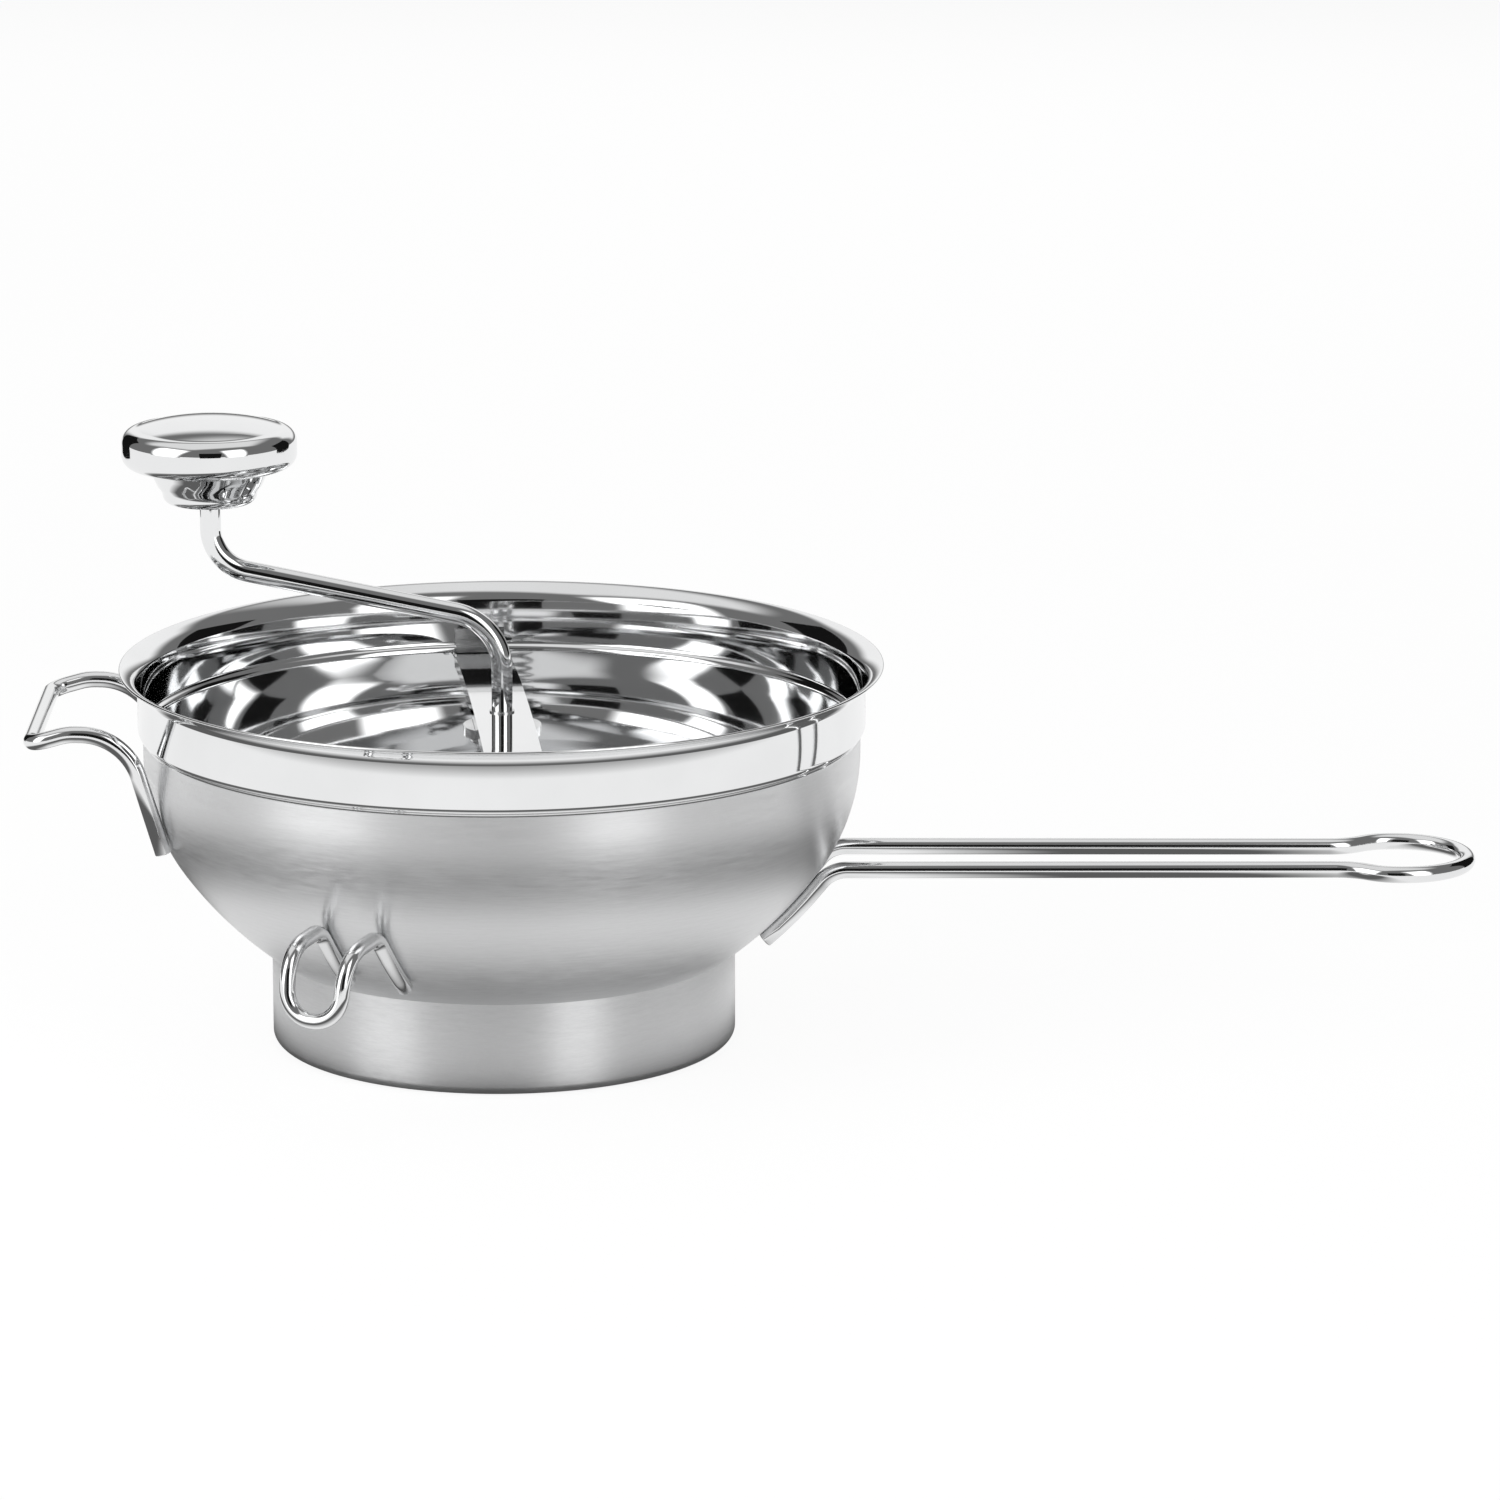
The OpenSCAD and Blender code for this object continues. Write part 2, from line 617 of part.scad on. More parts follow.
module blade() {
    steps = 40;
    rings = [for (i = [0:steps]) let (a = blade_sweep * i / steps, d = [cos(a), sin(a), 0],
        low = [0, 0, blade_height(a)], high = low + [0, 0, blade_t])
        [d * blade_root(a) + low, d * blade_edge(a) + low, d * blade_edge(a) + high,
            d * blade_root(a) + high]];
    points = [for (ring = rings, p = ring) p];
    sides = [for (i = [0:steps - 1], k = [0:3]) let (m = (k + 1) % 4, p = i * 4, q = p + 4)
        each [[p + k, p + m, q + m], [p + k, q + m, q + k]]];
    ends = [[3, 2, 1, 0], [for (k = [0:3]) steps * 4 + k]];
    color(polished) mirror([0, 1, 0]) polyhedron(points, concat(sides, ends));
}

module blade_hub() {
    color(polished) difference() {
        translate([0, 0, hub_z]) cylinder(r = hub_r, h = hub_h, $fn = small_fn);
        translate([0, 0, hub_z - 1]) cylinder(r = rod_r, h = far, $fn = small_fn);
        translate([0, 0, pin_z]) rotate([90, 0, 0])
            cylinder(r = pin_r, h = 4 * hub_r, center = true, $fn = small_fn);
    }
}

module drive_pin() {
    color(dark_steel) translate([0, 0, pin_z]) rotate([90, 0, 0])
        cylinder(r = pin_r, h = 2 * hub_r + 3, center = true, $fn = small_fn);
}

module scraper() {
    color(steel) difference() {
        translate([-scraper_r, -scraper_t / 2, scraper_top - scraper_h])
            cube([2 * scraper_r, scraper_t, scraper_h]);
        translate([0, 0, scraper_top - scraper_h - 1])
            cylinder(r = scraper_hub_r, h = far, $fn = small_fn);
    }
}

module scraper_hub() {
    color(steel) difference() {
        translate([0, 0, scraper_hub_z])
            cylinder(r = scraper_hub_r, h = scraper_hub_h, $fn = small_fn);
        translate([0, 0, scraper_hub_z - 1]) cylinder(r = rod_r, h = far, $fn = small_fn);
    }
}

module end_nut() {
    color(dark_steel) difference() {
        translate([0, 0, nut_z]) cylinder(r = nut_r, h = nut_h, $fn = 6);
        translate([0, 0, nut_z - 1]) cylinder(r = rod_r, h = nut_h + 2, $fn = small_fn);
    }
}

module spindle_washer() {
    color(steel) translate([-crank_reach, 0, spindle_z]) difference() {
        cylinder(r = spindle_r, h = washer_t, $fn = small_fn);
        translate([0, 0, -1]) cylinder(r = rod_r, h = washer_t + 2, $fn = small_fn);
    }
}

module spindle_nut() {
    color(dark_steel) translate([-crank_reach, 0, spindle_nut_z]) difference() {
        cylinder(r = spindle_r - 0.5, h = spindle_nut_h, $fn = 6);
        translate([0, 0, -1]) cylinder(r = rod_r, h = spindle_nut_h + 2, $fn = small_fn);
    }
}

// ---- Knob body ----
dome_edge_r = knob_r - knob_edge_r * 0.6;
dome_curve_r = (pow(dome_edge_r, 2) + pow(knob_dome, 2)) / (2 * knob_dome);

// Section of the knob: a side band with round edges, a shallow dome above and a flat below.
module knob_section(inset) {
    e = knob_edge_r - inset;
    top = knob_h + knob_dome - inset;
    intersection() {
        union() {
            translate([0, inset]) square([knob_r - knob_edge_r, far]);
            translate([0, knob_edge_r]) square([knob_r - inset, knob_h - 2 * knob_edge_r]);
            translate([knob_r - knob_edge_r, knob_edge_r]) circle(r = e, $fn = 48);
            translate([knob_r - knob_edge_r, knob_h - knob_edge_r]) circle(r = e, $fn = 48);
        }
        translate([0, top - dome_curve_r]) circle(r = dome_curve_r, $fn = 180);
        translate([0, inset]) square([knob_r, far]);
    }
}

module knob_shell() {
    color(polished) translate([-crank_reach, 0, knob_bottom]) rotate_extrude($fn = round_fn)
        difference() {
            knob_section(0);
            knob_section(knob_t);
            translate([0, -1]) square([cup_top_r - knob_t, knob_t + 2]);
        }
}

module knob_cup() {
    outline = concat([[cup_top_r, cup_h], [cup_top_r - 2.6, cup_h * 0.5]],
        arc([cup_end_r - 3, 3], 3, 0, -90, 15), [[0, 0]]);
    inner = concat([[0, cup_h + 1], [cup_top_r - knob_t, cup_h + 1], [cup_top_r - knob_t, cup_h],
        [cup_top_r - 2.6 - knob_t, cup_h * 0.5]],
        arc([cup_end_r - 3, 3], 3 - knob_t, 0, -90, 15), [[0, knob_t]]);
    color(polished) translate([-crank_reach, 0, cup_bottom]) rotate_extrude($fn = round_fn)
        difference() {
            polygon(concat(outline, [[0, cup_h]]));
            polygon(inner);
            translate([0, -1]) square([spindle_r, far]);
        }
}

module knob_bush() {
    color(steel) translate([-crank_reach, 0, cup_bottom]) difference() {
        union() {
            cylinder(r = spindle_r, h = bush_h, $fn = small_fn);
            translate([0, 0, knob_t]) cylinder(r = spindle_r + 2, h = 1.5, $fn = small_fn);
        }
        translate([0, 0, -1]) cylinder(r = rod_r + run_gap, h = bush_h + 2, $fn = small_fn);
    }
}

bowl();
foot_ring();
sieve_disc();
disc_eyelet();
long_handle();
short_handle();
pot_hook_front();
pot_hook_rear();
bar_lug_front();
bar_lug_rear();
crossbar();
bar_bush();
spring_cup();
crank_rod();
spring();
spring_washer();
blade();
blade_hub();
drive_pin();
scraper();
scraper_hub();
end_nut();
spindle_washer();
spindle_nut();
knob_shell();
knob_cup();
knob_bush();
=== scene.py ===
import json
from math import acos, asin, atan2, ceil, cos, pi, radians, sin, sqrt, tan

import bmesh
import bpy
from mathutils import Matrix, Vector


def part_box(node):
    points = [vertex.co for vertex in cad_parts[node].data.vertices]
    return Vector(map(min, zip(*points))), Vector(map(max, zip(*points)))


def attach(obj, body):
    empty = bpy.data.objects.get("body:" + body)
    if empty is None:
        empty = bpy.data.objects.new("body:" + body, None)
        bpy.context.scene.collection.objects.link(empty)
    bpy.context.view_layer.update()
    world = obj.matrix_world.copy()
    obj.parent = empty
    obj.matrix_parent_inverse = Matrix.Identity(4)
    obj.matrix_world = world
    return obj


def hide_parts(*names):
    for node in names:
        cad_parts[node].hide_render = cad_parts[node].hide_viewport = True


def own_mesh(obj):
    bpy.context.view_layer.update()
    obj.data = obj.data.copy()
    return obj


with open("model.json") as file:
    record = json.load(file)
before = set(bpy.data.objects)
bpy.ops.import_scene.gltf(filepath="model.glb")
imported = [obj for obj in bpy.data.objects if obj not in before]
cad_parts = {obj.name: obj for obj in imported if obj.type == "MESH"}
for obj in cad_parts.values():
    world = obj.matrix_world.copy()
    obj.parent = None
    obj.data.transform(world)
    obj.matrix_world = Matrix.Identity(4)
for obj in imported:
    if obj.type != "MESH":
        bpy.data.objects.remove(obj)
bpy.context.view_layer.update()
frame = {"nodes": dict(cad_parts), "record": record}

MM = 0.001
COLLECTION = bpy.context.scene.collection


# ---- Camera ----
CAMERA_ELEVATION = radians(13.661)
CAMERA_DISTANCE = 2.5
CAMERA_SENSOR, CAMERA_LENS, CAMERA_CLIP = 36, 180.04, 50
CAMERA_AIM = Vector((0.0825, 0, 0.09744))
camera_data = bpy.data.cameras.new("camera")
camera_data.sensor_width = CAMERA_SENSOR
camera_data.lens = CAMERA_LENS
camera_data.clip_end = CAMERA_CLIP
camera = bpy.data.objects.new("camera", camera_data)
camera.location = CAMERA_AIM + CAMERA_DISTANCE * Vector((0, -cos(CAMERA_ELEVATION), sin(CAMERA_ELEVATION)))
camera.rotation_euler = (pi / 2 - CAMERA_ELEVATION, 0, 0)
COLLECTION.objects.link(camera)
bpy.context.scene.camera = camera
bpy.context.scene.view_settings.view_transform = "Standard"
bpy.context.scene.view_settings.look = "None"


# ---- Materials ----
class Nodes:
    """A material's node tree, with short calls for adding and joining nodes."""

    def __init__(self, name):
        self.material = bpy.data.materials.new(name)
        self.material.use_nodes = True
        self.tree = self.material.node_tree
        self.shader = self.tree.nodes["Principled BSDF"]
        self.coords = self.add("ShaderNodeTexCoord").outputs["Object"]

    def add(self, kind, **values):
        node = self.tree.nodes.new(kind)
        for key, value in values.items():
            setattr(node, key, value)
        return node

    def join(self, a, b):
        self.tree.links.new(a, b)
        return b

    def feed(self, socket, value):
        """Sets a socket to a number, or joins another socket to it."""
        if isinstance(value, (int, float)):
            socket.default_value = value
        else:
            self.join(value, socket)

    def math(self, operation, a, b=0.0):
        node = self.add("ShaderNodeMath", operation=operation)
        for socket, value in zip(node.inputs, (a, b)):
            self.feed(socket, value)
        return node.outputs[0]

    def vector(self, x, y, z):
        node = self.add("ShaderNodeCombineXYZ")
        for socket, value in zip(node.inputs, (x, y, z)):
            self.feed(socket, value)
        return node.outputs[0]

    def noise(self, vector, scale, detail=3.0, rough=0.5):
        node = self.add("ShaderNodeTexNoise")
        node.inputs["Scale"].default_value = scale
        node.inputs["Detail"].default_value = detail
        node.inputs["Roughness"].default_value = rough
        self.join(vector, node.inputs["Vector"])
        return node.outputs["Fac"]

    def spread(self, value, low, high, start=0.3, end=0.7):
        """Maps a value between start and end to low and high."""
        node = self.add("ShaderNodeMapRange")
        for name, number in (("From Min", start), ("From Max", end), ("To Min", low), ("To Max", high)):
            node.inputs[name].default_value = number
        self.join(value, node.inputs["Value"])
        return node.outputs["Result"]

    def bump(self, height, strength, distance):
        node = self.add("ShaderNodeBump")
        node.inputs["Strength"].default_value = strength
        node.inputs["Distance"].default_value = distance
        self.join(height, node.inputs["Height"])
        self.join(node.outputs["Normal"], self.shader.inputs["Normal"])

    def metal(self, shade, tint):
        """Bare metal of a grey shade, with a faint tint."""
        colour = self.add("ShaderNodeCombineColor")
        for i, share in enumerate(tint):
            self.join(self.math("MULTIPLY", shade, share), colour.inputs[i])
        self.join(colour.outputs[0], self.shader.inputs["Base Color"])
        self.shader.inputs["Metallic"].default_value = 1.0


# Noise scales, in features to the metre.
CLOUD_SCALE, WIPE_SCALE = 34, 420
LINE_SCALE, FINE_LINE_SCALE, DRIFT_SCALE = 900, 3400, 14
# How far the shade of the metal drifts either way.
CLOUD_SHADE, DRIFT_SHADE = 0.02, 0.015
POLISHED_TINT, BRUSHED_TINT = (0.995, 1.0, 1.005), (0.995, 1.0, 1.006)
# How slowly the lines change round the axis, and how they run across a flat disc and along a strip.
LINE_WANDER, DISC_SHARE, STRIP_STRETCH = 0.010, 0.7, 0.04
ANISOTROPY, ANISOTROPY_TURN = 0.75, 0.25


def polished_steel(name, tone=0.86, rough=0.035, wear=0.03):
    """Mirror-polished steel: faint clouding, fine wiping lines and a trace of unevenness."""
    n = Nodes(name)
    cloud = n.noise(n.coords, CLOUD_SCALE, 3)
    fine = n.noise(n.coords, WIPE_SCALE, 4, 0.6)
    both = n.math("ADD", n.math("MULTIPLY", cloud, 0.6), n.math("MULTIPLY", fine, 0.4))
    n.join(n.spread(both, rough, rough + wear), n.shader.inputs["Roughness"])
    n.metal(n.spread(cloud, tone - CLOUD_SHADE, tone + CLOUD_SHADE), POLISHED_TINT)
    n.bump(fine, 0.02, 0.00001)
    return n.material


def brushed_steel(name, tone=0.80, rough=0.33, turned=True, contrast=0.12):
    """Satin steel. Turned sheet has lines round its axis, and other sheet along its length."""
    n = Nodes(name)
    split = n.add("ShaderNodeSeparateXYZ")
    n.join(n.coords, split.inputs[0])
    x, y, z = split.outputs
    if turned:
        angle = n.math("ARCTAN2", y, x)
        radius = n.math("SQRT", n.math("ADD", n.math("MULTIPLY", x, x), n.math("MULTIPLY", y, y)))
        # Sine and cosine of the angle meet without a seam.
        lines = n.vector(n.math("MULTIPLY", n.math("SINE", angle), LINE_WANDER),
                         n.math("MULTIPLY", n.math("COSINE", angle), LINE_WANDER),
                         n.math("ADD", n.math("MULTIPLY", radius, DISC_SHARE), z))
    else:
        lines = n.vector(n.math("MULTIPLY", x, STRIP_STRETCH), y, z)
    coarse = n.noise(lines, LINE_SCALE, 4, 0.65)
    fine = n.noise(lines, FINE_LINE_SCALE, 3, 0.7)
    cloud = n.noise(n.coords, DRIFT_SCALE, 2)
    both = n.math("ADD", n.math("MULTIPLY", coarse, 0.55), n.math("MULTIPLY", fine, 0.45))
    n.join(n.spread(both, rough - 0.05, rough + 0.10), n.shader.inputs["Roughness"])
    shade = n.math("ADD", n.spread(both, tone - contrast / 2, tone + contrast / 2),
                   n.spread(cloud, -DRIFT_SHADE, DRIFT_SHADE))
    n.metal(shade, BRUSHED_TINT)
    n.bump(both, 0.08, 0.00003)
    if turned:
        tangent = n.add("ShaderNodeTangent", direction_type="RADIAL", axis="Z")
        n.join(tangent.outputs[0], n.shader.inputs["Tangent"])
        n.shader.inputs["Anisotropic"].default_value = ANISOTROPY
        n.shader.inputs["Anisotropic Rotation"].default_value = ANISOTROPY_TURN
    return n.material


POLISHED = polished_steel("polished_steel")
WIRE = polished_steel("polished_wire", 0.84, 0.05, 0.05)
KNOB = polished_steel("polished_knob", 0.85, 0.03, 0.02)
SATIN = brushed_steel("satin_steel")
PLAIN = brushed_steel("plain_steel", 0.76, 0.20, turned=False, contrast=0.05)
TURNED = brushed_steel("turned_steel", 0.74, 0.20, contrast=0.05)
SPRING = brushed_steel("spring_steel", 0.52, 0.26, turned=False, contrast=0.08)
SLOT_OF = {n["node"]: n["material_slot"] for n in frame["record"]["subparts"]}


# ---- Mesh building. Points are millimetres here and metres in the mesh. ----
SHARP_ANGLE = radians(50)
# Turns are cut into this many segments: bowl and foot, knob, cup.
BOWL_SEGMENTS, KNOB_SEGMENTS, CUP_SEGMENTS = 320, 224, 192


def piece(name, body, verts, faces, materials, indices=None, nodes=()):
    mesh = bpy.data.meshes.new(name)
    mesh.from_pydata([tuple(c * MM for c in v) for v in verts], [], faces)
    mesh.validate()
    for material in materials:
        mesh.materials.append(material)
    mesh.polygons.foreach_set("use_smooth", [True] * len(mesh.polygons))
    if indices:
        mesh.polygons.foreach_set("material_index", indices)
    solid = bmesh.new()
    solid.from_mesh(mesh)
    bmesh.ops.recalc_face_normals(solid, faces=solid.faces)
    solid.to_mesh(mesh)
    solid.free()
    mesh.set_sharp_from_angle(angle=SHARP_ANGLE)
    obj = bpy.data.objects.new(name, mesh)
    COLLECTION.objects.link(obj)
    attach(obj, body)
    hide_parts(*nodes)
    return obj


def lathe(name, body, outline, materials, node, at=(0, 0, 0), segments=BOWL_SEGMENTS, pick=None):
    """Turns a closed outline of (radius, height) points round a vertical axis."""
    n = len(outline)
    verts, faces, indices = [], [], []
    for s in range(segments):
        a = 2 * pi * s / segments
        verts += [(at[0] + r * cos(a), at[1] + r * sin(a), at[2] + z) for r, z in outline]
    for s in range(segments):
        t = (s + 1) % segments
        for i in range(n):
            j = (i + 1) % n
            faces.append((s * n + i, t * n + i, t * n + j, s * n + j))
            indices.append(pick(i) if pick else 0)
    return piece(name, body, verts, faces, materials, indices, (node,))


def arc(c, r, a0, a1, step=2.0):
    """Points round a centre from one angle to another, in degrees."""
    n = max(2, ceil(abs(a1 - a0) / step))
    angles = [radians(a0 + (a1 - a0) * i / n) for i in range(n + 1)]
    return [(c[0] + r * cos(a), c[1] + r * sin(a)) for a in angles]


def sheet_outline(line, t):
    """Both faces of a sheet whose middle follows a line, with round edges."""
    def side(i):
        a, b = Vector(line[max(i - 1, 0)]), Vector(line[min(i + 1, len(line) - 1)])
        d = (b - a).normalized()
        return Vector((d.y, -d.x)), d
    outer = [Vector(p) + side(i)[0] * t / 2 for i, p in enumerate(line)]
    inner = [Vector(p) - side(i)[0] * t / 2 for i, p in enumerate(line)]
    normal, along = side(len(line) - 1)
    # The cut edge is rounded inwards, so that the sheet is no longer than its line.
    end = Vector(line[-1]) - along * t / 2
    cap = [end + t / 2 * (normal * cos(a) + along * sin(a)) for a in (pi * k / 8 for k in range(9))]
    outer, inner = outer[:-1], inner[:-1]
    outer = [p for p in outer if (p - Vector(line[-1])).length > t * 0.8]
    inner = [p for p in inner if (p - Vector(line[-1])).length > t * 0.8]
    return outer, cap, list(reversed(inner))


def across(d):
    """Any direction square to d."""
    other = Vector((0, 0, 1)) if abs(d.z) < 0.9 else Vector((1, 0, 0))
    return other.cross(d).normalized()


def centre_line(path, bends, step):
    """Straight lengths joined by round bends, as points."""
    out = [Vector(path[0])]
    for i in range(1, len(path) - 1):
        u = (Vector(path[i]) - Vector(path[i - 1])).normalized()
        v = (Vector(path[i + 1]) - Vector(path[i])).normalized()
        angle = acos(max(-1, min(1, u.dot(v))))
        if angle < 1e-5:
            continue
        inward = (v - u * u.dot(v)).normalized()
        centre = Vector(path[i]) - u * bends[i] * tan(angle / 2) + inward * bends[i]
        n = max(2, ceil(angle / radians(step)))
        out += [centre + bends[i] * (u * sin(angle * k / n) - inward * cos(angle * k / n))
                for k in range(n + 1)]
    out.append(Vector(path[-1]))
    return [p for i, p in enumerate(out) if i == 0 or (p - out[i - 1]).length > 0.02]


def tube(name, body, line, r, material, node, sides=28, chamfer=0.35):
    """A round wire along a line, with softly broken ends."""
    n = len(line)
    tangents = [(line[min(i + 1, n - 1)] - line[max(i - 1, 0)]).normalized() for i in range(n)]
    rings, x = [], across(tangents[0])
    for i in range(n):
        t = tangents[i]
        x = (x - t * x.dot(t)).normalized()
        rings.append((line[i], x.copy(), t.cross(x), r))
    def end(i, sign):
        p, ex, ey, _ = rings[i]
        t = tangents[i] * sign
        return [(p - t * chamfer, ex, ey, r), (p - t * chamfer * 0.3, ex, ey, r - chamfer * 0.35),
                (p, ex, ey, r - chamfer)]
    first, last = list(reversed(end(0, -1))), end(n - 1, 1)
    rings = first + rings[1:-1] + last
    verts, faces = [], []
    for p, ex, ey, rr in rings:
        angles = (2 * pi * k / sides for k in range(sides))
        verts += [p + rr * (ex * cos(a) + ey * sin(a)) for a in angles]
    for i in range(len(rings) - 1):
        for k in range(sides):
            m = (k + 1) % sides
            faces.append((i * sides + k, (i + 1) * sides + k, (i + 1) * sides + m, i * sides + m))
    faces.append(tuple(range(sides)))
    faces.append(tuple(reversed(range((len(rings) - 1) * sides, len(rings) * sides))))
    return piece(name, body, verts, faces, [material], None, (node,))


def bent_wire(name, half, bends, r, node, turn=0.0, fine=3.0):
    """A wire that is its own mirror image, turned round the bowl by an angle in degrees."""
    path = half + [(x, -y, z) for x, y, z in reversed(half)]
    line = centre_line(path, bends + list(reversed(bends)), fine)
    c, s = cos(radians(turn)), sin(radians(turn))
    line = [Vector((p.x * c - p.y * s, p.x * s + p.y * c, p.z)) for p in line]
    return tube(name, "mill", line, r, WIRE, node)


# ---- The bowl's section, with the sizes of the CAD ----
BOWL_R, DEPTH, SIDE_R, SEAT_R, SEAT_W, SEAT_Z, T = 119.3, 70.9, 63.7, 72.0, 6.0, 27.1, 0.9
STEP_RISE, STEP_OUT, STEP_H, NECK_H, RIM_R = 6.0, 1.7, 3.6, 13.9, 8.3
WIDEST_Z, SIDE_C = SEAT_Z + DEPTH, BOWL_R - SIDE_R
# The crown's arc passes through the seat and runs into the side's arc without a kink.
# That gives a quadratic in the height of the crown's centre.
offset = SEAT_R**2 - SIDE_C**2 + SEAT_Z**2 - WIDEST_Z**2 - SIDE_R**2
slant = 2 * DEPTH
squared = slant**2 - 4 * SIDE_R**2
linear = 2 * offset * slant + 8 * SIDE_R**2 * WIDEST_Z
constant = offset**2 - 4 * SIDE_R**2 * (SIDE_C**2 + WIDEST_Z**2)
CROWN_Z = (-linear + sqrt(linear**2 - 4 * squared * constant)) / (2 * squared)
CROWN_R = sqrt(SEAT_R**2 + (CROWN_Z - SEAT_Z)**2)
JOIN = atan2(CROWN_Z - WIDEST_Z, SIDE_C) * 180 / pi
STEP_Z = WIDEST_Z + STEP_RISE
NECK_Z = STEP_Z + STEP_H
NECK_TOP = NECK_Z + NECK_H
NECK_R = BOWL_R + STEP_OUT
BEND = 2 * atan2(STEP_OUT, STEP_H) * 180 / pi
BEND_R = STEP_H / (2 * sin(radians(BEND)))
RIM_START, RIM_END = 162, 100
RIM_C = (NECK_R - T / 2 - RIM_R * cos(radians(RIM_START)), NECK_TOP - RIM_R * sin(radians(RIM_START)))
START = -asin((CROWN_Z - SEAT_Z + T / 3) / (CROWN_R - T / 2)) * 180 / pi
crown = arc((0, CROWN_Z), CROWN_R - T / 2, START, -JOIN, 1.0)
side_arc = arc((SIDE_C, WIDEST_Z), SIDE_R - T / 2, -JOIN + 1.5, 0, 1.5)
step_line = (arc((BOWL_R - T / 2 + BEND_R, STEP_Z), BEND_R, 180, 180 - BEND, 6)
             + arc((BOWL_R - T / 2 + STEP_OUT - BEND_R, NECK_Z), BEND_R, -BEND + 6, 0, 6))
rim_line = arc(RIM_C, RIM_R, RIM_START, RIM_END, 3)
wall = crown + side_arc + step_line + rim_line
outer, cap, inner = sheet_outline(wall, T)
seat_in = SEAT_R - SEAT_W
# Seat flange below the inner face, with a rounded inner edge.
inner = [p for p in inner if p.y > SEAT_Z + 0.02]
flange = [(seat_in + 0.35, SEAT_Z)] + [
    (seat_in + T / 2 - T / 2 * cos(a), SEAT_Z - T / 2 + T / 2 * sin(a))
    for a in (pi / 2 - pi * k / 8 for k in range(1, 8))] + [(seat_in + 0.35, SEAT_Z - T)]
outer = [p for p in outer if p.y > SEAT_Z - T + 0.05]
bowl_outline = ([tuple(p) for p in outer] + [tuple(p) for p in cap] + [tuple(p) for p in inner]
                + flange)
SATIN_TOP = STEP_Z + 0.2
outer_count = len(outer)


def bowl_finish(i):
    """Satin on the outside up to the step, polished everywhere else."""
    return 1 if i < outer_count and bowl_outline[i][1] < SATIN_TOP else 0


lathe("bowl_shell", "mill", bowl_outline, [POLISHED, SATIN], "bowl", pick=bowl_finish)

FOOT_OUT, EDGE_R, LIP, LIP_BREAK = 5.5, 3.0, 3.0, 0.3
FOOT_R = SEAT_R + FOOT_OUT
lip_r = FOOT_R - EDGE_R - LIP
foot_top = min((p[1] for p in outer if p[0] > FOOT_R - T / 2), default=SEAT_Z + 3)
foot_inner_top = min((p[1] for p in outer if p[0] > FOOT_R - T), default=foot_top)
ec = (FOOT_R - EDGE_R, EDGE_R)
foot_wall = [(FOOT_R, EDGE_R + (foot_top - EDGE_R) * k / 12) for k in range(11, 0, -1)]
foot_outline = ([(FOOT_R, foot_top - 0.25)] + foot_wall
                + arc(ec, EDGE_R, 0, -90, 6)
                + [(lip_r + LIP_BREAK, 0), (lip_r, LIP_BREAK), (lip_r, T - LIP_BREAK), (lip_r + LIP_BREAK, T)]
                + arc(ec, EDGE_R - T, -90, 0, 8)
                + [(FOOT_R - T, foot_inner_top - 0.3), (FOOT_R - T / 2, foot_inner_top)])
lathe("foot_shell", "mill", foot_outline, [SATIN], "foot_ring")


# ---- Wires that lie on the bowl ----
def lay_r(h, r):
    return sqrt((CROWN_R + r + 0.02)**2 - h * h)


def lay_angle(z, h, r):
    return asin((CROWN_Z - z) / lay_r(h, r))


def lay_point(a, h, r):
    return lay_r(h, r) * cos(a), CROWN_Z - lay_r(h, r) * sin(a)


def lay_corner(a0, a1, h, r):
    k = lay_r(h, r) / cos((a0 - a1) / 2)
    return k * cos((a0 + a1) / 2), CROWN_Z - k * sin((a0 + a1) / 2)


def leave_x(a, h, r, z):
    x, low = lay_point(a, h, r)
    return x + (z - low) * tan(a)


WIRE_R, LONG_RISE, LONG_REACH = 2.75, 33.2, 325.0
LONG_Z = SEAT_Z + LONG_RISE
# How far below its level the wire starts on the bowl, and leaves it.
LONG_LOW, LONG_LEAVE = 24, 5
LONG_BEND, EYE_BEND, EYE_OVERLAP, EYE_FLARE = 11, 17, 5.7, 10
LONG_HALF, SLOT_HALF, EYE_HALF = 16.0, 15.3, 22.5
a0 = lay_angle(LONG_Z - LONG_LOW, LONG_HALF, WIRE_R)
a1 = lay_angle(LONG_Z - LONG_LEAVE, LONG_HALF, WIRE_R)
low, mid = lay_point(a0, LONG_HALF, WIRE_R), lay_corner(a0, a1, LONG_HALF, WIRE_R)
eye_start = LONG_REACH - WIRE_R - EYE_HALF * 2 + EYE_OVERLAP
bent_wire("long_handle_wire", [
    (low[0], -LONG_HALF, low[1]), (mid[0], -LONG_HALF, mid[1]),
    (leave_x(a1, LONG_HALF, WIRE_R, LONG_Z), -LONG_HALF, LONG_Z),
    (eye_start - 0.1, -SLOT_HALF, LONG_Z), (eye_start + EYE_FLARE, -EYE_HALF, LONG_Z),
    (LONG_REACH - WIRE_R, -EYE_HALF, LONG_Z)],
    [0, lay_r(LONG_HALF, WIRE_R), LONG_BEND, EYE_BEND, EYE_BEND, EYE_HALF], WIRE_R, "long_handle")

SHORT_HALF, SHORT_OUT, SHORT_RISE = 40.0, 34.2, 14.0
SHORT_REACH = BOWL_R + SHORT_OUT
